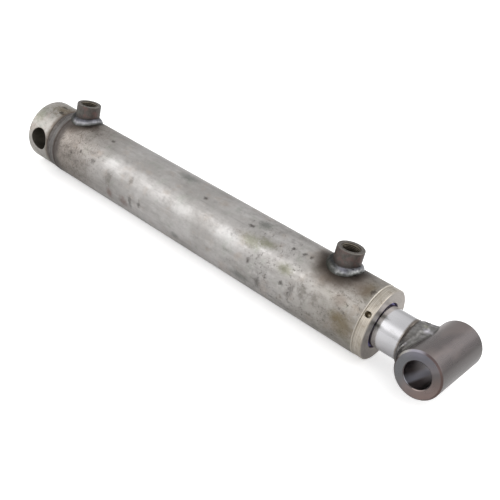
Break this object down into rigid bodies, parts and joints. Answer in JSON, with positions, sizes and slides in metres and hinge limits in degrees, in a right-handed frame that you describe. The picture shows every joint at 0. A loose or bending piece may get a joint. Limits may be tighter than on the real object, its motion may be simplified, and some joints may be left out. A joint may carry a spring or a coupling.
{
  "type": "hydraulic cylinder",
  "caption": "Double-acting welded hydraulic cylinder with a cross-drilled base cap, two side ports, a threaded gland, a chromed rod and a cross-tube rod eye.",
  "frame": {"origin": "centre of the base cap's flat end face, on the cylinder's axis", "axes": "+X along the cylinder from the base cap to the rod eye, +Z to the ports, +Y along both pin holes"},
  "size_m": [0.5975, 0.0888, 0.0952],
  "materials": {
    "tube_steel": "bare drawn steel, oiled, faint pits and streaks",
    "turned_steel": "bright turned steel",
    "fitting_steel": "turned steel, darkened by heat and oil",
    "weld_metal": "rippled weld bead",
    "rod_chrome": "ground and polished hard chrome",
    "piston_iron": "turned iron",
    "seal_rubber": "matte nitrile rubber",
    "seal_urethane": "satin cast urethane",
    "guide_nylon": "glass-filled nylon"
  },
  "bodies": {
    "barrel": {"barrel_tube": "tube_steel", "base_cap": "tube_steel", "base_cap_weld": "weld_metal", "base_port_boss": "fitting_steel", "base_port_weld": "weld_metal", "rod_end_port_boss": "fitting_steel", "rod_end_port_weld": "weld_metal", "head_gland": "turned_steel", "gland_o_ring": "seal_rubber", "gland_backup_ring": "guide_nylon", "rod_wiper": "seal_urethane", "rod_seal": "seal_urethane", "rod_seal_expander": "seal_rubber", "rod_guide_ring_rear": "guide_nylon", "rod_guide_ring_front": "guide_nylon"},
    "piston_rings": {"piston_wear_ring_rear": "guide_nylon", "piston_wear_ring_front": "guide_nylon", "piston_seal": "seal_urethane", "piston_seal_energizer": "seal_rubber"},
    "rod": {"piston_rod": "rod_chrome", "piston": "piston_iron", "piston_o_ring": "seal_rubber", "piston_nut": "fitting_steel", "nut_locking_insert": "guide_nylon", "rod_eye": "fitting_steel", "rod_eye_weld": "weld_metal"}
  },
  "joints": [
    {"name": "rod_extend", "type": "slide", "parent": "barrel", "child": "piston_rings", "axis": [1, 0, 0], "range_m": [0, 0.3048]},
    {"name": "rod_swivel", "type": "hinge", "parent": "piston_rings", "child": "rod", "pos_m": [0.573, 0, 0], "axis": [1, 0, 0], "continuous": true}
  ]
}
